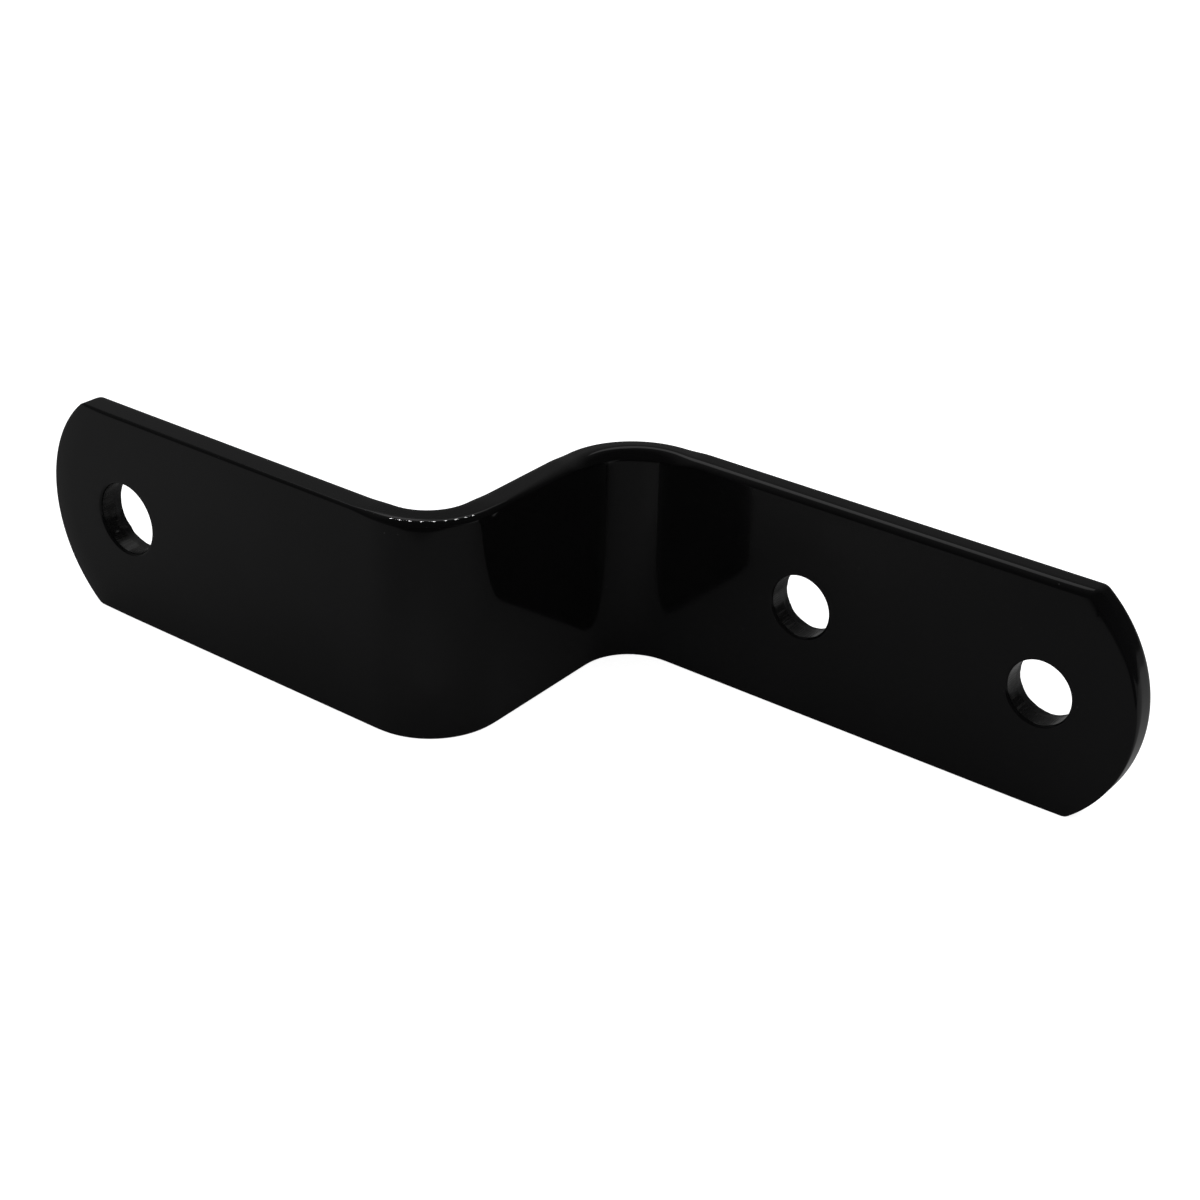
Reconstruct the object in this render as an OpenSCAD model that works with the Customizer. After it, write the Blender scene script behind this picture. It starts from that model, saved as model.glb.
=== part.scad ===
// Hitch bracket: one flat bar, bent square twice into a Z and punched with three holes.
// It stands on one long edge. X runs along the arms, the pin arm is at the left and nearer the front,
// and the origin lies under the middle of the bracket, on the surface that it stands on.

/* [Bar] */
// Width of the flat bar, which is the bracket's height as it stands
bar_w = 38.1; // [30:0.1:60]
// Thickness of the flat bar
bar_t = 4.76; // [3:0.01:8]
// Radius along the bar's edges
edge_r = 0.7; // [0.2:0.05:1.4]
// How far each end's arc rises past its two corners
end_rise = 9.3; // [4:0.1:14]

/* [Bends] */
// Inside radius of the bend beside the pin arm
pin_bend_r = 8; // [3:0.1:20]
// Inside radius of the bend beside the bolt arm
bolt_bend_r = 9; // [3:0.1:20]
// Flat length of the web between the two bends
web_l = 25.4; // [5:0.1:80]

/* [Pin arm] */
// Flat length from the end's tip to the bend
pin_arm_l = 76.2; // [50:0.1:150]
// Diameter of the hitch pin's hole
pin_hole_d = 12.7; // [8:0.1:20]
// From the end's tip to the hole's centre
pin_hole_end = 18.4; // [14:0.1:30]

/* [Bolt arm] */
// Flat length from the end's tip to the bend
bolt_arm_l = 84.4; // [72:0.1:150]
// Diameter of the two bolt holes
bolt_hole_d = 10.6; // [6:0.1:16]
// From the end's tip to the outer hole's centre
bolt_hole_end = 15.9; // [12:0.1:24]
// Distance between the two bolt holes
bolt_pitch = 42.4; // [25:0.1:50]

/* [Punched edges] */
// Radius where the punch drew the front face into a hole
roll_r = 0.65; // [0.2:0.05:1]
// Depth behind the front face at which the sheared wall ends and the torn wall begins
shear_depth = 3.05; // [1.2:0.05:3.6]
// How much the torn wall widens on each side by the back face
tear_flare = 0.3; // [0.05:0.05:0.6]

/* [Hidden] */
$fn = 96;
// How far a cutter stands past the face that it opens
over = 1;
// An arc over the bar's whole width that rises end_rise
end_r = (end_rise * end_rise + bar_w * bar_w / 4) / (2 * end_rise);
// Size in plan of the step from one arm to the other, both bends and the web
step_x = bolt_bend_r + bar_t + pin_bend_r;
step_y = bolt_bend_r + web_l + pin_bend_r;
// Middle of the whole bracket in plan, from the front of the bolt arm where its bend begins
mid_x = (bolt_arm_l - step_x - pin_arm_l) / 2;
mid_y = -step_y / 2;

// The bar's section, with its thickness along X from nought and its width along Y, centred
module section() {
    translate([edge_r, -bar_w / 2]) square([bar_t - 2 * edge_r, bar_w]);
    translate([0, edge_r - bar_w / 2]) square([bar_t, bar_w - 2 * edge_r]);
    for (x = [edge_r, bar_t - edge_r], y = [-1, 1])
        translate([x, y * (bar_w / 2 - edge_r)]) circle(edge_r);
}

// A straight run of the bar along X, with its front face at Y nought
module run(length) {
    rotate([90, 0, 90]) linear_extrude(length) section();
}

// A square bend about Z. The bar starts on X, on the far side of the axis, and turns towards Y
module bend(inside_r) {
    rotate_extrude(angle = 90) translate([inside_r, 0]) section();
}

// A disc with the bar's edge radius round its rim. Its axis runs along Y and its front face is at Y nought
module end_disc() {
    rotate([-90, 0, 0])
        rotate_extrude() {
            translate([0, edge_r]) square([end_r, bar_t - 2 * edge_r]);
            square([end_r - edge_r, bar_t]);
            for (y = [edge_r, bar_t - edge_r])
                translate([end_r - edge_r, y]) circle(edge_r);
        }
}

// A punched hole's cutter along Y: the drawn-in lip, the sheared wall and the torn wall
module punched_hole(hole_d) {
    hole_r = hole_d / 2;
    rotate([-90, 0, 0])
        rotate_extrude() {
            difference() {
                translate([0, -over]) square([hole_r + roll_r, over + roll_r]);
                translate([hole_r + roll_r, roll_r]) circle(roll_r);
            }
            translate([0, roll_r]) square([hole_r, shear_depth - roll_r]);
            polygon([
                [0, shear_depth], [hole_r, shear_depth], [hole_r + tear_flare, bar_t],
                [hole_r + tear_flare, bar_t + over], [0, bar_t + over]
            ]);
        }
}

// An arm from its bend at X nought to its rounded tip, with a hole at each distance back from the tip
module arm(length, hole_d, holes) {
    difference() {
        intersection() {
            run(length);
            union() {
                translate([length - end_r, 0, 0]) end_disc();
                translate([-over, -over, -bar_w]) cube([length - end_r + over, bar_t + 2 * over, 2 * bar_w]);
            }
        }
        for (x = holes) translate([length - x, 0, 0]) punched_hole(hole_d);
    }
}

module bolt_arm() {
    arm(bolt_arm_l, bolt_hole_d, [bolt_hole_end, bolt_hole_end + bolt_pitch]);
}

// The pin arm points the other way, and its hole is punched from the same face of the bar
module pin_arm() {
    mirror([1, 0, 0]) arm(pin_arm_l, pin_hole_d, [pin_hole_end]);
}

// The web stands square to the arms. It starts at Y nought, runs to the front and has its back at X nought
module web() {
    rotate(-90) mirror([0, 1, 0]) run(web_l);
}

// From the bolt arm's bend to the pin arm, one shift to each next piece of the bar
module hitch_strap() {
    color([0.06, 0.06, 0.065])
        translate([-mid_x, -mid_y, bar_w / 2]) {
            bolt_arm();
            translate([0, -bolt_bend_r, 0]) {
                rotate(90) bend(bolt_bend_r);
                translate([-bolt_bend_r, 0, 0]) {
                    web();
                    translate([-bar_t, -web_l, 0]) translate([-pin_bend_r, 0, 0]) {
                        rotate(-90) bend(pin_bend_r);
                        translate([0, -pin_bend_r, 0]) translate([0, -bar_t, 0]) pin_arm();
                    }
                }
            }
        }
}

hitch_strap();
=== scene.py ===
import math

import bmesh
import bpy
from mathutils import Matrix, Quaternion, Vector, geometry, noise

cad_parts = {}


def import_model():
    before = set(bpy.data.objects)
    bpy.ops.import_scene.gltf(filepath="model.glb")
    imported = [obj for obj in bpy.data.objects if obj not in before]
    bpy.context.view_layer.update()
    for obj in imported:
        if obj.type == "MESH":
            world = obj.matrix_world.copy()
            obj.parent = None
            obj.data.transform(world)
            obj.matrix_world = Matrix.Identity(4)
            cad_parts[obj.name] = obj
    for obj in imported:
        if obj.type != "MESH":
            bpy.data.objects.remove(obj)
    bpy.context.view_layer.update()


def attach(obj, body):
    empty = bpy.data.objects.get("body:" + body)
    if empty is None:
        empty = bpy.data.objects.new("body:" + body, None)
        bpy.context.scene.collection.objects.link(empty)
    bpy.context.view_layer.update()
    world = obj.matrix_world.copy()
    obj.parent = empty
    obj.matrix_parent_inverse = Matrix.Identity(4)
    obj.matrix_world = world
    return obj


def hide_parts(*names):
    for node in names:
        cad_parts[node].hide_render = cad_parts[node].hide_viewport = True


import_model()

# The bracket is a flat bar, bent twice into a Z. Its fine mesh is laid out flat and then bent, so a place on
# it is (along, height, depth): along the bar from the pin arm's tip, height above the bar's middle, and depth
# behind the front face. Lengths are in metres.
MM = 0.001
NODE = "hitch_strap"
BODY = "root"

# The bar, the arcs of its ends with their rounded corners, and its stretches from the pin arm on
BAR_W = 38.1 * MM
BAR_T = 4.76 * MM
END_RISE = 9.3 * MM
CORNER_R = 2 * MM
PIN_ARM_L = 76.2 * MM
PIN_BEND_R = 8 * MM
WEB_L = 25.4 * MM
BOLT_BEND_R = 9 * MM
BOLT_ARM_L = 84.4 * MM

# How far past square the bends really go, and over what length each bend's curve comes in and fades out
LEAN = math.radians(1.2)
EASE = 5 * MM

# How blanking and bending left the edges, as (reach over the face, reach over the rim). The first four are
# the upper front edge's, along the bar
PIN_ARM_EDGE = Vector((0.7, 0.5)) * MM
PIN_BEND_EDGE = Vector((1.0, 1.0)) * MM
BOLT_BEND_EDGE = Vector((2.0, 2.6)) * MM
BOLT_ARM_EDGE = Vector((1.0, 2.2)) * MM
FOOT_EDGE = Vector((0.35, 0.35)) * MM
BACK_EDGE = Vector((0.4, 1.2)) * MM

# How far the front face falls back at the ends, and over what length
DROOP = 0.34 * MM
DROOP_REACH = 5 * MM

# How far each bend moved the upper back edge up, from what share of the half width on, and how far beyond the
# bend its marks reach
PIN_BEND_BULGE = 0.22 * MM
BOLT_BEND_NECK = -0.27 * MM
SHIFT_FROM = 0.75
BEND_REACH = 5 * MM

# The punched holes, each placed from its arm's tip, and how far above the bar's middle they were punched
PIN_HOLE_R = 6.35 * MM
PIN_HOLE_END = 18.4 * MM
BOLT_HOLE_R = 5.3 * MM
BOLT_HOLE_END = 15.9 * MM
BOLT_PITCH = 42.4 * MM
HOLE_RISE = 0.25 * MM

# A hole's wall from the front: the drawn-in lip, the sheared wall, the torn wall and its broken back edge
ROLL_R = 0.5 * MM
SHEAR_DEPTH = 3.05 * MM
TEAR_FLARE = 0.12 * MM
BREAK_R = 0.12 * MM
BREAK_TURNS = (math.pi / 6, math.pi / 3, math.pi / 2)

# How far the sheared wall waves, how far the line where it tears wanders, and how deep the torn wall's breaks
# are. The finenesses are how quickly each changes round the hole
SHEAR_WAVE = 0.07 * MM
SHEAR_FINENESS = 2.6
TEAR_LINE_WANDER = 0.25 * MM
TEAR_LINE_FINENESS = 3.1
TEAR_LINE_REACH = 0.35
TEAR_DEPTH = 0.14 * MM
TEAR_ONSET = 2
COARSE_SHARE = 0.7
COARSE_FINENESS = 2.3
COARSE_CHANGE = 0.8
FINE_SHARE = 0.4
FINE_FINENESS = 7.5
FINE_CHANGE = 2.0

# Where in the noise the pin hole and the two bolt holes are, and each kind of wave
HOLE_SEEDS = (0, 10, 20)
SHEAR_ROW = 2
COARSE_ROW = 5
FINE_ROW = 9
TEAR_LINE_ROW = 0
TEAR_LINE_CHANGE = 4

# A burr across the pin hole's wall: where it is round the hole, its width and height, and how ragged it is
BURR_TURN = math.radians(223)
BURR_WIDTH = math.radians(12)
BURR_HEIGHT = 0.3 * MM
BURR_BODY = 0.7
BURR_FINENESS = (9, 1.7)

# The ends' arcs, the step between the arms and the radii of the bar's middle line, worked out from the bar
HALF_W = BAR_W / 2
END_R = (END_RISE ** 2 + HALF_W ** 2) / (2 * END_RISE)
CORNER_TURN = math.asin((HALF_W - CORNER_R) / (END_R - CORNER_R))
CORNER_START = END_R - (END_R - CORNER_R) * math.cos(CORNER_TURN)
TURN = math.pi / 2 + LEAN
STEP_X = BOLT_BEND_R + BAR_T + PIN_BEND_R
STEP_Y = BOLT_BEND_R + WEB_L + PIN_BEND_R
PIN_MID_R = PIN_BEND_R + BAR_T / 2
BOLT_MID_R = BOLT_BEND_R + BAR_T / 2

# An eased bend swings wider, by its easing's square over forty radii. Web and arms make up for that and for
# the lean, so that the arms stay where square bends would have them
EASE_DIVISOR = 40
EASE_GAIN = EASE ** 2 / EASE_DIVISOR * (1 / PIN_MID_R + 1 / BOLT_MID_R)
BENT_WEB_L = (WEB_L - EASE_GAIN - STEP_X * math.sin(LEAN)) / math.cos(LEAN)
ARM_EXTRA = (STEP_X * (1 - math.cos(LEAN)) + BENT_WEB_L * math.sin(LEAN) - EASE_GAIN) / 2

# Where along the flat bar each bend starts and ends, and the bends as (start, end, radius). The second one
# turns back
PIN_BEND_START = PIN_ARM_L + ARM_EXTRA
PIN_BEND_END = PIN_BEND_START + PIN_MID_R * TURN
BOLT_BEND_START = PIN_BEND_END + BENT_WEB_L
BOLT_BEND_END = BOLT_BEND_START + BOLT_MID_R * TURN
BAR_L = BOLT_BEND_END + BOLT_ARM_L + ARM_EXTRA
BENDS = ((PIN_BEND_START, PIN_BEND_END, PIN_MID_R), (BOLT_BEND_START, BOLT_BEND_END, -BOLT_MID_R))

# Fineness of the mesh: counts of steps round the edges, across the rim, round the ends and the holes, and up
# the faces
ROUND_STEPS = 10
RIM_STEPS = 3
CORNER_STEPS = 8
ARC_STEPS = 72
HOLE_STEPS = 144
FRONT_ROWS = 60
BACK_ROWS = 18

# Lengths of steps along the bar's middle line, the bends and the arms, and down a hole's two walls
PATH_STEP = 0.05 * MM
BEND_STEP = 0.3 * MM
ARM_STEP = 1.6 * MM
SHEARED_STEP = 0.4 * MM
TORN_STEP = 0.2 * MM

# How far the bends' rows of quads reach into the arms, and how far the stations keep off the ends' corners
BEND_MARGIN = 7 * MM
CORNER_MARGIN = 1.5 * MM

# Points inside an arm's flat face: arcs this far in from the end's rim, without the points near their ends,
# and a grid that keeps clear of the long edges, of the arcs and stations, and of the holes' middles
INNER_ARCS = (1.5 * MM, 2.1 * MM, 2.8 * MM, 3.6 * MM, 4.6 * MM)
ARC_TRIM = CORNER_STEPS + 4
GRID_STEP = 3.2 * MM
GRID_EDGE_MARGIN = 3 * MM
GRID_MARGIN = 1.5 * MM
GRID_HOLE_MARGIN = 8.4 * MM

# The kind of triangulation that leaves holes open, how near its points are taken as one, in millimetres, how
# near the mesh's own points are welded, and the angle from which an edge stays sharp
INSIDE_WITH_HOLES = 2
SAME_POINT = 1e-5
WELD = 0.002 * MM
SHARP_FROM = math.radians(32)

# The mesh's material slots
PAINT, SHEARED, TORN = range(3)

# Each material's two colours, mixed by its noise, and its range of roughness
PAINT_COLOURS = ((0.0020, 0.0020, 0.0021), (0.0028, 0.0028, 0.0030))
PAINT_ROUGHNESS = (0.05, 0.11)
PAINT_IOR = 1.5
DUST_COLOUR = (0.02, 0.02, 0.02)
SHEARED_COLOURS = ((0.003, 0.003, 0.003), (0.016, 0.0155, 0.015))
SHEARED_ROUGHNESS = (0.2, 0.32)
TORN_COLOURS = ((0.0035, 0.0035, 0.0038), (0.012, 0.0115, 0.011))
TORN_ROUGHNESS = (0.28, 0.45)

# The light that falls on everything, and the dim room that gloss paint mirrors, lightest behind at the left
LIGHT_LEVEL = 0.75
ROOM_TOWARDS = Vector((-0.86, 0.5, 0))
ROOM_SPAN = (-0.1, 0.85)
ROOM_DIM = 0.022
ROOM_LIGHT = 0.105

# A panel overhead, behind at the left, which faces straight down
PANEL_PLACE = Vector((-0.4, 0.42, 0.6))
PANEL_SIZE = (0.52, 0.28)
PANEL_RADIANCE = 0.43

# A fan of short tubes, whose beams meet on the pin arm's bend and glint along its upper edge
FAN_MIDDLE = Vector((-0.45, 0.45, 0.58))
FAN_R = 0.42
FAN_TURNS = (math.radians(-72), math.radians(-16))
TUBE_COUNT = 9
TUBE_SIZE = (0.008, 0.05)
TUBE_RADIANCE = 170
TUBE_BEAM = math.radians(5.5)
TUBE_AIM = Vector((-11, -25, 38)) * MM

# The floor's half width, its colour, and how much it is lifted to white where it is seen straight
FLOOR_REACH = 2.5
FLOOR_COLOUR = 0.8
FLOOR_LIFT = 0.8

# How gloss paint mirrors the floor, all of it painted light and shade: a painted grey shade, darker beyond a
# line in front at the right, and a painted glow at the left and in a band behind at the right. Each pair is
# where a change begins and ends
FLOOR_PAINTED_GLOSS_GREY = 0.156
FLOOR_FRONT = (0.098, 0.113)
FLOOR_FRONT_TOWARDS = Vector((0.6, -1, 0))
FLOOR_FRONT_PAINTED_SHADE = 0.02
FLOOR_LEFT = (-0.14, 0.0)
FLOOR_LEFT_PAINTED_GLOW = 0.041
FLOOR_BEHIND = (0.088, 0.106)
FLOOR_BEHIND_END = (0.34, 0.44)
FLOOR_BEHIND_TOWARDS = Vector((0.6, 1.3, 0))
FLOOR_BEHIND_PAINTED_GLOW = 0.17

# The camera, fitted to the photo, whose frame is square. The azimuth is zero from the front
CAMERA_AIM = Vector((-0.04, 12.0, 13.16)) * MM
CAMERA_AZIMUTH = math.radians(37.604)
CAMERA_ELEVATION = math.radians(27.824)
CAMERA_ROLL = math.radians(1.12)
CAMERA_DISTANCE = 362.7 * MM
CAMERA_CLIP = (0.01, 10)
PHOTO_SIZE = 1200
FOCAL_PIXELS = 2194.1
SENSOR = 36


def smooth(value):
    """A soft step from nought to one."""
    value = min(1, max(0, value))
    return value * value * (3 - 2 * value)


def evenly(start, end, count):
    """Values from start to end, in a count of even steps."""
    return [start + (end - start) * i / count for i in range(count + 1)]


def span(start, end, step):
    """Values from start to end, in even steps of about a given length."""
    return evenly(start, end, max(1, round(abs(end - start) / step)))


def add_object(name, data):
    """A new object in the scene."""
    made = bpy.data.objects.new(name, data)
    bpy.context.scene.collection.objects.link(made)
    return made


def bend_share(along, start, end):
    """One inside a bend, falling softly to nought BEND_REACH beyond it."""
    outside = max(start - along, along - end)
    return smooth(1 - outside / BEND_REACH)


def edge_shift(along, height, depth):
    """How far bending moved the upper back edge up or down."""
    moved = PIN_BEND_BULGE * bend_share(along, PIN_BEND_START, PIN_BEND_END)
    moved += BOLT_BEND_NECK * bend_share(along, BOLT_BEND_START, BOLT_BEND_END)
    return moved * smooth(depth / BAR_T) * smooth((height / HALF_W - SHIFT_FROM) / (1 - SHIFT_FROM))


def curvature(along):
    """How sharply the bar's middle line turns, in radians a metre. Half of each easing is inside its bend."""
    bent = 0.0
    for start, end, radius in BENDS:
        bent += smooth((along - start) / EASE + 0.5) * smooth((end - along) / EASE + 0.5) / radius
    return bent


def bar_path():
    """The line of the bar's middle in plan, as (x, y, heading) at each PATH_STEP along it."""
    x = -(PIN_ARM_L + STEP_X + BOLT_ARM_L) / 2
    y = -(STEP_Y + BAR_T) / 2
    heading = 0.0
    points = [(x, y, heading)]
    for i in range(round(BAR_L / PATH_STEP)):
        turned = curvature((i + 0.5) * PATH_STEP) * PATH_STEP
        x += math.cos(heading + turned / 2) * PATH_STEP
        y += math.sin(heading + turned / 2) * PATH_STEP
        heading += turned
        points.append((x, y, heading))
    return points


PATH = bar_path()


def place(along, height, depth):
    """A point of the bent bar, where it stands."""
    steps = along / PATH_STEP
    index = min(len(PATH) - 2, max(0, int(steps)))
    before = Vector(PATH[index])
    after = Vector(PATH[index + 1])
    x, y, heading = before + (after - before) * (steps - index)
    behind = depth - BAR_T / 2
    height += edge_shift(along, height, depth)
    return Vector((x - behind * math.sin(heading), y + behind * math.cos(heading), height + HALF_W))


class Mesh:
    """Quads and triangles of the flat bar, each with its material, which are bent and welded at the end."""

    def __init__(self):
        self.faces = []

    def face(self, points, material=PAINT):
        self.faces.append((points, material))

    def strip(self, near, far, material=PAINT, closed=True):
        """Quads between two rows of as many points."""
        count = len(near)
        for i in range(count if closed else count - 1):
            j = (i + 1) % count
            self.face([near[i], near[j], far[j], far[i]], material)

    def build(self, name):
        mesh = bmesh.new()
        for points, material in self.faces:
            face = mesh.faces.new([mesh.verts.new(place(*point)) for point in points])
            face.material_index = material
            face.smooth = True
        bmesh.ops.remove_doubles(mesh, verts=mesh.verts, dist=WELD)
        bmesh.ops.recalc_face_normals(mesh, faces=mesh.faces)
        data = bpy.data.meshes.new(name)
        mesh.to_mesh(data)
        mesh.free()
        return add_object(name, data)


QUARTER_TURNS = evenly(0, math.pi / 2, ROUND_STEPS)


def quarter_round(radius):
    """(inset, depth) along a quarter round, from the face to the rim."""
    return [(radius * (1 - math.sin(turn)), radius * (1 - math.cos(turn))) for turn in QUARTER_TURNS]


def end_outline():
    """An end's outline from its upper corner down, as (centre from tip, centre's height, radius, turn)."""
    upper = [(CORNER_START, HALF_W - CORNER_R, CORNER_R, turn)
             for turn in evenly(math.pi / 2, CORNER_TURN, CORNER_STEPS)[:-1]]
    arc = [(END_R, 0, END_R, turn) for turn in evenly(CORNER_TURN, -CORNER_TURN, ARC_STEPS)]
    lower = [(from_tip, -height, radius, -turn) for from_tip, height, radius, turn in reversed(upper)]
    return upper + arc + lower


END_OUTLINE = end_outline()


def end_arc(inset_at):
    """The end's outline as (distance from tip, height), drawn in by an inset that follows from the height."""
    points = []
    for from_tip, height, radius, turn in END_OUTLINE:
        radius -= inset_at(height + radius * math.sin(turn))
        points.append((from_tip - radius * math.cos(turn), height + radius * math.sin(turn)))
    return points


# The stations along the bar at which its long edges have points, over the pin arm, the bends and the bolt arm
BEND_ZONE = (PIN_BEND_START - BEND_MARGIN, BOLT_BEND_END + BEND_MARGIN)
PIN_ARM_STATIONS = span(CORNER_START + CORNER_MARGIN, BEND_ZONE[0], ARM_STEP)
BEND_STATIONS = span(*BEND_ZONE, BEND_STEP)
BOLT_ARM_STATIONS = span(BEND_ZONE[1], BAR_L - CORNER_START - CORNER_MARGIN, ARM_STEP)
STATIONS = PIN_ARM_STATIONS + BEND_STATIONS[1:-1] + BOLT_ARM_STATIONS

# Each arm as (its tip, where the bends' rows begin, its stations)
PIN_ARM = (0, BEND_ZONE[0], PIN_ARM_STATIONS)
BOLT_ARM = (BAR_L, BEND_ZONE[1], BOLT_ARM_STATIONS)


def front_edge(along, height):
    """The front edge's reach over face and rim at a place along the bar, on the upper or the lower side."""
    upper = PIN_ARM_EDGE.lerp(BOLT_ARM_EDGE, smooth((along - PIN_BEND_END) / BENT_WEB_L))
    upper = upper.lerp(PIN_BEND_EDGE, bend_share(along, PIN_BEND_START, PIN_BEND_END))
    upper = upper.lerp(BOLT_BEND_EDGE, bend_share(along, BOLT_BEND_START, BOLT_BEND_END))
    return FOOT_EDGE.lerp(upper, smooth(0.5 + height / BAR_W))


def front_inset(along, height):
    return front_edge(along, height)[0]


def back_inset(along, height):
    return BACK_EDGE[0]


def back_depth(along, height):
    return BAR_T


def droop(along, height):
    """How far the front face falls back towards the end's rim."""
    from_tip = min(along, BAR_L - along)
    if from_tip > END_R:
        return 0.0
    from_rim = END_R - math.hypot(END_R - from_tip, height)
    return DROOP * max(0, 1 - from_rim / DROOP_REACH) ** 2


def long_edges(inset_at, stations):
    """The upper and lower long edges over some stations, drawn in by an inset that follows from the place."""
    upper = [(along, HALF_W - inset_at(along, HALF_W)) for along in stations]
    lower = [(along, inset_at(along, -HALF_W) - HALF_W) for along in stations]
    return upper, lower


def tip_edge(inset_at, tip):
    """The rounded end at a tip from its upper corner down, drawn in like the long edges."""
    arc = end_arc(lambda height: inset_at(tip, height))
    return [(abs(tip - from_tip), height) for from_tip, height in arc]


def outline(inset_at, depth_at):
    """The bar's outline, clockwise from the pin arm's upper corner. Inset and depth follow from the place."""
    upper, lower = long_edges(inset_at, STATIONS)
    points = upper + tip_edge(inset_at, BAR_L) + lower[::-1] + tip_edge(inset_at, 0)[::-1]
    return [(along, height, depth_at(along, height)) for along, height in points]


def front_loop(turn):
    """A loop of the front edge's rounding, at a turn from the face (0) to the rim (a quarter)."""
    fade = math.cos(turn)

    def inset_at(along, height):
        return front_edge(along, height)[0] * (1 - math.sin(turn))

    def depth_at(along, height):
        return front_edge(along, height)[1] * (1 - fade) + droop(along, height) * fade

    return outline(inset_at, depth_at)


def back_loop(turn):
    """A loop of the back edge's rounding, at a turn from the face (0) to the rim (a quarter)."""
    inset = BACK_EDGE[0] * (1 - math.sin(turn))
    depth = BAR_T - BACK_EDGE[1] * (1 - math.cos(turn))
    return outline(lambda along, height: inset, lambda along, height: depth)


def flat_loop(share):
    """A loop between the two roundings, at a share of the way from the front one to the back one."""
    def depth_at(along, height):
        return front_edge(along, height)[1] * (1 - share) + (BAR_T - BACK_EDGE[1]) * share

    return outline(lambda along, height: 0, depth_at)


def rim(mesh):
    """The rounded edge right round the bar, from the front face to the back face."""
    loops = [front_loop(turn) for turn in QUARTER_TURNS]
    loops += [flat_loop(i / RIM_STEPS) for i in range(1, RIM_STEPS)]
    loops += [back_loop(turn) for turn in reversed(QUARTER_TURNS)]
    for near, far in zip(loops[:-1], loops[1:]):
        mesh.strip(near, far)


def waves(angle, seed, row, fineness, change=0.0):
    """Smooth noise round a hole, about -1 to 1. Each row is other noise, and change moves on through it."""
    about = Vector((math.cos(angle), math.sin(angle), 0))
    return noise.noise(about * fineness + Vector((seed, row, change)))


def burr(angle, depth):
    """How far the burr stands out of the pin hole's wall."""
    near = smooth(1 - abs(angle - BURR_TURN) / BURR_WIDTH)
    ragged = noise.noise(Vector((angle * BURR_FINENESS[0], depth / MM * BURR_FINENESS[1], 1)))
    return BURR_HEIGHT * near * (BURR_BODY + ragged)


def wall_offset(angle, depth, seed):
    """How far a hole's wall stands back from its smooth form, and how far its features wander in depth."""
    torn = (depth - SHEAR_DEPTH) / (BAR_T - SHEAR_DEPTH)
    past_lip = smooth((depth - ROLL_R) / ROLL_R)
    away = SHEAR_WAVE * waves(angle, seed, SHEAR_ROW, SHEAR_FINENESS) * past_lip
    if seed == HOLE_SEEDS[0]:
        away -= burr(angle, depth) * past_lip
    if torn > 0:
        coarse = waves(angle, seed, COARSE_ROW, COARSE_FINENESS, torn * COARSE_CHANGE)
        fine = waves(angle, seed, FINE_ROW, FINE_FINENESS, torn * FINE_CHANGE)
        away += TEAR_DEPTH * min(1, TEAR_ONSET * torn) * (COARSE_SHARE * coarse + FINE_SHARE * fine)
    wander = 0.0
    if abs(torn) < TEAR_LINE_REACH:
        line = waves(angle, seed, TEAR_LINE_ROW, TEAR_LINE_FINENESS, TEAR_LINE_CHANGE)
        wander = TEAR_LINE_WANDER * line * (1 - abs(torn) / TEAR_LINE_REACH)
    return away, wander


def hole_section(radius):
    """A punched hole's wall from the front face to the back, as (radius, depth, material)."""
    section = [(radius + inset, depth, PAINT) for inset, depth in quarter_round(ROLL_R)]
    section += [(radius, depth, SHEARED) for depth in span(ROLL_R, SHEAR_DEPTH, SHEARED_STEP)[1:]]
    for depth in span(SHEAR_DEPTH, BAR_T - BREAK_R, TORN_STEP)[1:]:
        flare = TEAR_FLARE * (depth - SHEAR_DEPTH) / (BAR_T - SHEAR_DEPTH)
        section.append((radius + flare, depth, TORN))
    for turn in BREAK_TURNS:
        widened = BREAK_R * (1 - math.cos(turn))
        section.append((radius + TEAR_FLARE + widened, BAR_T - BREAK_R * (1 - math.sin(turn)), TORN))
    return section


def hole_rings(along, radius, seed):
    """A punched hole's rings of points from the front face to the back, each with its material."""
    rings = []
    for ring_r, depth, material in hole_section(radius):
        ring = []
        for angle in evenly(0, 2 * math.pi, HOLE_STEPS)[:-1]:
            away, deeper = wall_offset(angle, depth, seed)
            reach = ring_r + away
            height = HOLE_RISE + reach * math.sin(angle)
            ring.append((along + reach * math.cos(angle), height, depth + deeper))
        rings.append((ring, material))
    return rings


def inside_end(along, height, margin):
    """Whether a point of a flat face is inside the nearer end's arc by a margin."""
    from_tip = min(along, BAR_L - along)
    return from_tip > END_R or math.hypot(END_R - from_tip, height) < END_R - margin


def inner_points(tip, cut):
    """Points that break up an arm's flat face between its tip and the bends' rows: arcs, then a grid."""
    points = []
    for inset in INNER_ARCS:
        points += tip_edge(lambda along, height: inset, tip)[ARC_TRIM:-ARC_TRIM:2]
    start, end = sorted((tip, cut))
    reach = HALF_W - GRID_EDGE_MARGIN
    for along in span(start, end, GRID_STEP):
        if min(along - start, end - along) > GRID_MARGIN:
            column = [(along, height) for height in span(-reach, reach, GRID_STEP)]
            points += [point for point in column if inside_end(*point, INNER_ARCS[-1] + GRID_MARGIN)]
    return points


def ring_middle(ring):
    """The middle of a ring of points, seen square to the face."""
    return sum((Vector(point[:2]) for point in ring), Vector((0, 0))) / len(ring)


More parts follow.
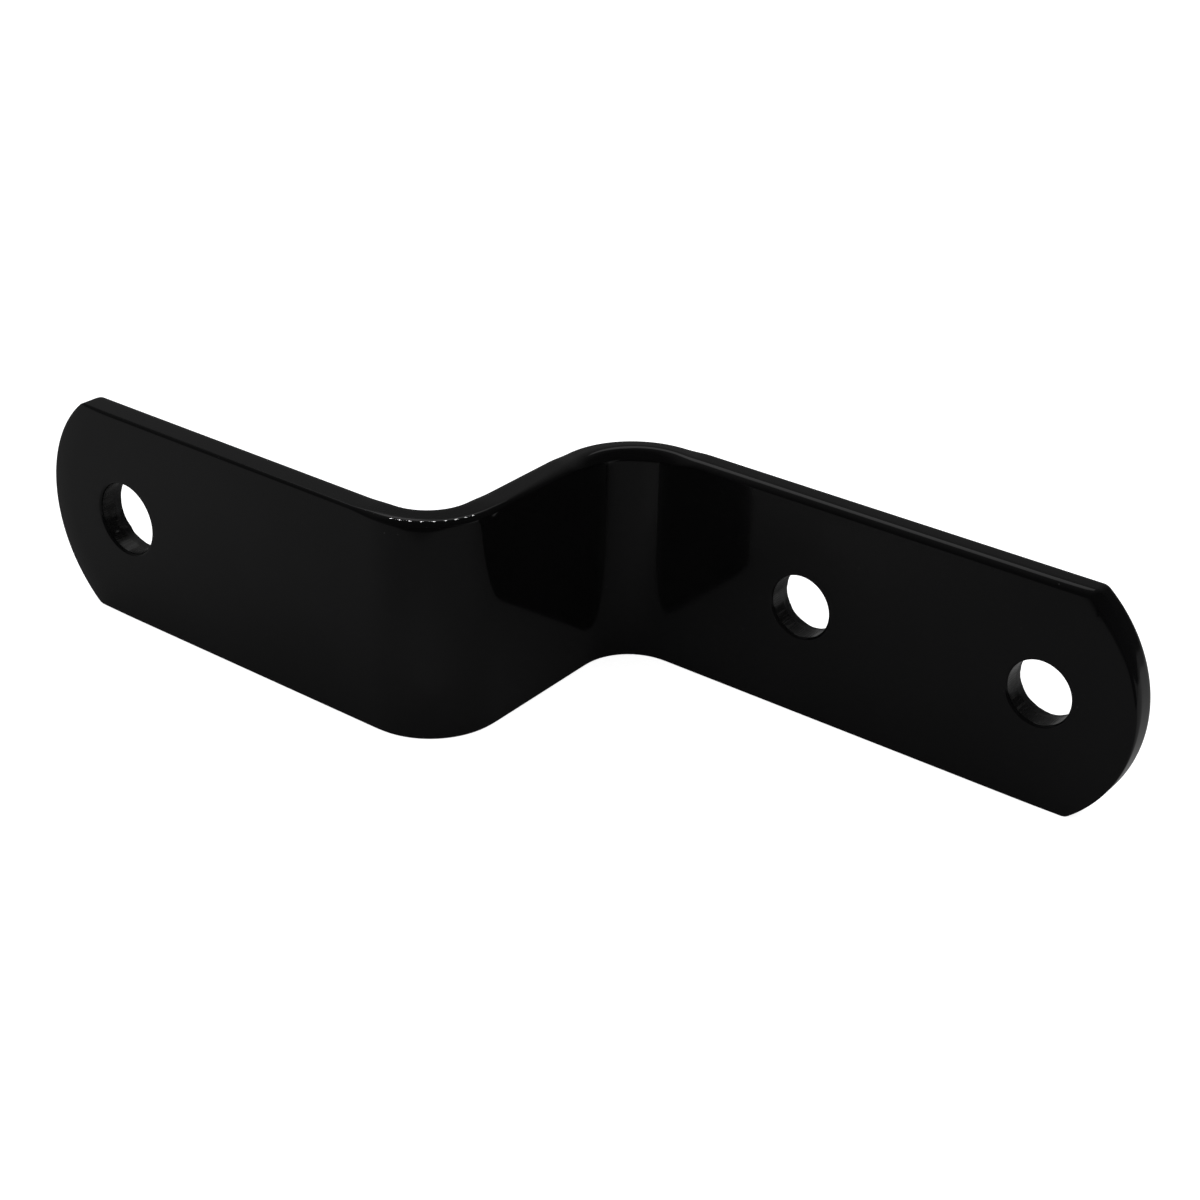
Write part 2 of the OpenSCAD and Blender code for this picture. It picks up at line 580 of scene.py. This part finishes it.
def flat_face(mesh, depth_at, border, rings, tip, cut):
    """The flat front or back of an arm: triangles inside its border and outside its holes' rings."""
    loops = [border] + rings
    points = [Vector(point[:2]) / MM for loop in loops for point in loop]
    borders = []
    first = 0
    for loop in loops:
        borders.append(list(range(first, first + len(loop))))
        first += len(loop)
    middles = [ring_middle(ring) for ring in rings]
    for point in inner_points(tip, cut):
        if all((Vector(point) - middle).length > GRID_HOLE_MARGIN for middle in middles):
            points.append(Vector(point) / MM)
    cut_up = geometry.delaunay_2d_cdt(points, [], borders, INSIDE_WITH_HOLES, SAME_POINT)
    corners = [(x * MM, y * MM, depth_at(x * MM, y * MM)) for x, y in cut_up[0]]
    for triangle in cut_up[2]:
        mesh.face([corners[i] for i in triangle])


def arm_border(inset_at, tip, cut, stations, seam_heights):
    """The border of an arm's flat face, clockwise from its rounded end. The bends' rows begin at the seam."""
    upper, lower = long_edges(inset_at, stations)
    seam = [(cut, height) for height in seam_heights]
    if tip == 0:
        return tip_edge(inset_at, tip)[::-1] + upper + seam[::-1] + lower[::-1]
    return tip_edge(inset_at, tip) + lower[::-1] + seam + upper


def faces(mesh, inset_at, depth_at, row_count, pin_rings, bolt_rings):
    """The whole front or back face: rows of quads over the bends, and triangles over each arm."""
    def column(along):
        return evenly(inset_at(along, -HALF_W) - HALF_W, HALF_W - inset_at(along, HALF_W), row_count)

    columns = []
    for along in BEND_STATIONS:
        columns.append([(along, height, depth_at(along, height)) for height in column(along)])
    for near, far in zip(columns[:-1], columns[1:]):
        mesh.strip(near, far, closed=False)
    for (tip, cut, stations), rings in ((PIN_ARM, pin_rings), (BOLT_ARM, bolt_rings)):
        border = arm_border(inset_at, tip, cut, stations, column(cut)[1:-1])
        flat_face(mesh, depth_at, border, rings, tip, cut)


def strap():
    """The bracket itself, in one closed mesh."""
    mesh = Mesh()
    rim(mesh)
    outer_bolt_hole = BAR_L - BOLT_HOLE_END
    inner_bolt_hole = BAR_L - (BOLT_HOLE_END + BOLT_PITCH)
    holes = [(PIN_HOLE_END, PIN_HOLE_R), (inner_bolt_hole, BOLT_HOLE_R), (outer_bolt_hole, BOLT_HOLE_R)]
    walls = [hole_rings(along, radius, seed) for (along, radius), seed in zip(holes, HOLE_SEEDS)]
    for rings in walls:
        for (near, _), (far, material) in zip(rings[:-1], rings[1:]):
            mesh.strip(near, far, material)
    fronts = [rings[0][0] for rings in walls]
    backs = [rings[-1][0] for rings in walls]
    faces(mesh, front_inset, droop, FRONT_ROWS, fronts[:1], fronts[1:])
    faces(mesh, back_inset, back_depth, BACK_ROWS, backs[:1], backs[1:])
    piece = mesh.build("strap")
    piece.data.set_sharp_from_angle(angle=SHARP_FROM)
    weighted = piece.modifiers.new("normals", "WEIGHTED_NORMAL")
    weighted.keep_sharp = True
    return piece


class Nodes:
    """The node tree of a material or a world, with short calls that add a node and feed its inputs."""

    def __init__(self, owner):
        self.owner = owner
        owner.use_nodes = True
        self.tree = owner.node_tree
        self.tree.nodes.clear()

    def feed(self, socket, value):
        """Link a socket to another's output, or set its value. A colour is given without its alpha."""
        if isinstance(value, bpy.types.NodeSocket):
            self.tree.links.new(value, socket)
        elif socket.type == "RGBA":
            socket.default_value = (*value, 1)
        else:
            socket.default_value = value

    def add(self, kind, settings=None, **inputs):
        """A new node. An input is named with _ for a space, or as i0, i1 and so on by its number."""
        node = self.tree.nodes.new(kind)
        for key, value in (settings or {}).items():
            setattr(node, key, value)
        for key, value in inputs.items():
            numbered = key[0] == "i" and key[1:].isdigit()
            self.feed(node.inputs[int(key[1:]) if numbered else key.replace("_", " ")], value)
        return node

    def where(self):
        """The place on the object."""
        return self.add("ShaderNodeTexCoord").outputs["Object"]

    def noise(self, where, scale, detail=2.0, roughness=0.5):
        node = self.add("ShaderNodeTexNoise", Vector=where, Scale=scale, Detail=detail, Roughness=roughness)
        return node.outputs["Fac"]

    def ramp(self, value, low, high, out_low=0.0, out_high=1.0):
        """A soft change from out_low to out_high, while the value goes from low to high."""
        node = self.add("ShaderNodeMapRange", {"interpolation_type": "SMOOTHSTEP"}, Value=value,
                        From_Min=low, From_Max=high, To_Min=out_low, To_Max=out_high)
        return node.outputs["Result"]

    def blend(self, factor, first, second):
        """One colour where the factor is nought and another where it is one."""
        return self.add("ShaderNodeMix", {"data_type": "RGBA"}, Factor=factor, i6=first, i7=second).outputs[2]

    def switch(self, factor, off, on):
        """One number where the factor is nought and another where it is one."""
        return self.add("ShaderNodeMix", {"data_type": "FLOAT"}, Factor=factor, i2=off, i3=on).outputs[0]

    def math(self, operation, first, second):
        return self.add("ShaderNodeMath", {"operation": operation}, i0=first, i1=second).outputs[0]

    def along(self, where, direction):
        """How far a place lies in a direction."""
        node = self.add("ShaderNodeVectorMath", {"operation": "DOT_PRODUCT"}, i0=where, i1=direction)
        return node.outputs["Value"]

    def bump(self, height, strength, distance, **normal):
        """A normal bumped by a height, over another normal where one is given."""
        node = self.add("ShaderNodeBump", Strength=strength, Distance=distance, Height=height, **normal)
        return node.outputs[0]

    def finish(self, shader, output="ShaderNodeOutputMaterial"):
        self.add(output, Surface=shader.outputs[0])
        return self.owner


def paint():
    """Gloss black paint: faint orange peel, soft clouds in its gloss and a few specks of dust."""
    nodes = Nodes(bpy.data.materials.new("gloss_black"))
    where = nodes.where()
    clouds = nodes.noise(where, scale=38, detail=3)
    peel = nodes.noise(where, scale=620, detail=2)
    specks = nodes.ramp(nodes.noise(where, scale=1500, detail=1), 0.78, 0.82)
    colour = nodes.blend(nodes.ramp(clouds, 0.35, 0.7), *PAINT_COLOURS)
    colour = nodes.blend(specks, colour, DUST_COLOUR)
    roughness = nodes.ramp(clouds, 0.3, 0.7, *PAINT_ROUGHNESS)
    normal = nodes.bump(peel, strength=0.12, distance=0.02 * MM)
    shader = nodes.add("ShaderNodeBsdfPrincipled", Base_Color=colour, Roughness=roughness, IOR=PAINT_IOR,
                       Normal=normal)
    return nodes.finish(shader)


def sheared():
    """The sheared wall of a hole: thin paint over steel that the punch has drawn into fine lines."""
    nodes = Nodes(bpy.data.materials.new("sheared_wall"))
    where = nodes.where()
    drawn = nodes.add("ShaderNodeMapping", Vector=where, Scale=(1, 0.06, 1)).outputs[0]
    lines = nodes.noise(drawn, scale=2600, detail=3)
    patches = nodes.noise(where, scale=420, detail=3)
    colour = nodes.blend(nodes.ramp(lines, 0.4, 0.7), *SHEARED_COLOURS)
    colour = nodes.blend(nodes.ramp(patches, 0.35, 0.6), colour, SHEARED_COLOURS[0])
    roughness = nodes.ramp(lines, 0.3, 0.7, *SHEARED_ROUGHNESS)
    dents = nodes.bump(patches, strength=0.5, distance=0.09 * MM)
    normal = nodes.bump(lines, strength=0.3, distance=0.02 * MM, Normal=dents)
    shader = nodes.add("ShaderNodeBsdfPrincipled", Base_Color=colour, Roughness=roughness, Normal=normal)
    return nodes.finish(shader)


def torn():
    """The torn wall behind it: rough steel under paint."""
    nodes = Nodes(bpy.data.materials.new("torn_wall"))
    grain = nodes.noise(nodes.where(), scale=2400, detail=4, roughness=0.6)
    colour = nodes.blend(nodes.ramp(grain, 0.4, 0.7), *TORN_COLOURS)
    roughness = nodes.ramp(grain, 0.3, 0.7, *TORN_ROUGHNESS)
    normal = nodes.bump(grain, strength=0.7, distance=0.06 * MM)
    shader = nodes.add("ShaderNodeBsdfPrincipled", Base_Color=colour, Roughness=roughness, Normal=normal)
    return nodes.finish(shader)


def floor_material():
    """A pale floor, lifted to white where it is seen straight or through glass. Gloss mirrors it as painted
    grey shade, with painted glow.
    """
    nodes = Nodes(bpy.data.materials.new("pale_floor"))
    path = nodes.add("ShaderNodeLightPath").outputs
    seen = nodes.math("MAXIMUM", path["Is Camera Ray"], path["Is Transmission Ray"])
    where = nodes.where()
    # Painted glow, seen only in gloss: lighter at the left and in a band behind at the right
    left = nodes.ramp(nodes.along(where, Vector((1, 0, 0))), *FLOOR_LEFT, FLOOR_LEFT_PAINTED_GLOW, 0.0)
    away = nodes.along(where, FLOOR_BEHIND_TOWARDS)
    behind = nodes.ramp(away, *FLOOR_BEHIND, 0.0, FLOOR_BEHIND_PAINTED_GLOW)
    behind = nodes.math("MULTIPLY", behind, nodes.ramp(away, *FLOOR_BEHIND_END, 1.0, 0.0))
    painted_glow = nodes.math("ADD", behind, left)
    # Painted shade, seen only in gloss: the floor turns grey, and darker beyond a line in front at the right
    front = nodes.along(where, FLOOR_FRONT_TOWARDS)
    grey = nodes.ramp(front, *FLOOR_FRONT, FLOOR_PAINTED_GLOSS_GREY, FLOOR_FRONT_PAINTED_SHADE)
    # Gloss sees the painted glow as emission, while the camera and glass see the even lift to white
    lift = nodes.switch(path["Is Glossy Ray"], nodes.switch(seen, 0.0, FLOOR_LIFT), painted_glow)
    colour = nodes.switch(path["Is Glossy Ray"], FLOOR_COLOUR, grey)
    lit = nodes.add("ShaderNodeBsdfDiffuse", Color=colour)
    white = nodes.add("ShaderNodeEmission", Strength=lift)
    made = nodes.finish(nodes.add("ShaderNodeAddShader", i0=white.outputs[0], i1=lit.outputs[0]))
    made.cycles.emission_sampling = "NONE"
    return made


def floor():
    """A wide square floor, which isn't part of the bracket."""
    data = bpy.data.meshes.new("floor")
    corners = [(x * FLOOR_REACH, y * FLOOR_REACH, 0) for x, y in ((-1, -1), (1, -1), (1, 1), (-1, 1))]
    data.from_pydata(corners, [], [(0, 1, 2, 3)])
    data.materials.append(floor_material())
    add_object("floor", data)


def softbox(name, where, towards, along, size, radiance, beam=math.pi):
    """A rectangular area lamp with its height along a direction, as bright as radiance from its axis."""
    width, height = size
    data = bpy.data.lights.new(name, "AREA")
    data.shape = "RECTANGLE"
    data.size = width
    data.size_y = height
    data.energy = radiance * math.pi * width * height
    if beam < math.pi:
        data.spread = beam
        data.energy *= 1 - beam / 2 / math.tan(beam / 2)
    back = (where - towards).normalized()
    side = along.cross(back).normalized()
    made = add_object(name, data)
    made.location = where
    made.rotation_mode = "QUATERNION"
    made.rotation_quaternion = Matrix((side, back.cross(side), back)).transposed().to_quaternion()
    made.visible_camera = False


def tube_fan():
    """Short tubes that lie along the spokes of a fan, each aimed at the pin arm's bend."""
    for i, turn in enumerate(evenly(*FAN_TURNS, TUBE_COUNT - 1)):
        along = Vector((math.cos(turn), math.sin(turn), 0))
        softbox(f"tube_{i}", FAN_MIDDLE + along * FAN_R, TUBE_AIM, along, TUBE_SIZE, TUBE_RADIANCE, TUBE_BEAM)


def panel():
    """The overhead panel."""
    below = PANEL_PLACE * Vector((1, 1, 0))
    softbox("overhead", PANEL_PLACE, below, Vector((0, 1, 0)), PANEL_SIZE, PANEL_RADIANCE)


def world():
    """Plain white light. Gloss mirrors a dim room instead, and straight behind the bracket it is white."""
    made = bpy.data.worlds.new("studio")
    nodes = Nodes(made)
    path = nodes.add("ShaderNodeLightPath").outputs
    towards = nodes.add("ShaderNodeTexCoord").outputs["Generated"]
    room = nodes.ramp(nodes.along(towards, ROOM_TOWARDS), *ROOM_SPAN, ROOM_DIM, ROOM_LIGHT)
    plain = nodes.switch(path["Is Camera Ray"], LIGHT_LEVEL, 1.0)
    strength = nodes.switch(path["Is Glossy Ray"], plain, room)
    background = nodes.add("ShaderNodeBackground", Color=(1, 1, 1), Strength=strength)
    nodes.finish(background, "ShaderNodeOutputWorld")
    made.cycles.sampling_method = "NONE"
    bpy.context.scene.world = made


def camera():
    """The photo's camera: its place round the bracket, its roll and its lens."""
    back = Vector((math.sin(CAMERA_AZIMUTH) * math.cos(CAMERA_ELEVATION),
                   -math.cos(CAMERA_AZIMUTH) * math.cos(CAMERA_ELEVATION),
                   math.sin(CAMERA_ELEVATION)))
    data = bpy.data.cameras.new("camera")
    data.sensor_width = SENSOR
    data.lens = FOCAL_PIXELS / PHOTO_SIZE * SENSOR
    data.clip_start, data.clip_end = CAMERA_CLIP
    made = add_object("camera", data)
    made.location = CAMERA_AIM + back * CAMERA_DISTANCE
    made.rotation_mode = "QUATERNION"
    made.rotation_quaternion = (-back).to_track_quat("-Z", "Y") @ Quaternion((0, 0, 1), CAMERA_ROLL)
    bpy.context.scene.camera = made


bracket = strap()
for material in (paint(), sheared(), torn()):
    bracket.data.materials.append(material)
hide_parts(NODE)
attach(bracket, BODY)

floor()
world()
tube_fan()
panel()
camera()

bpy.context.scene.view_settings.view_transform = "Standard"
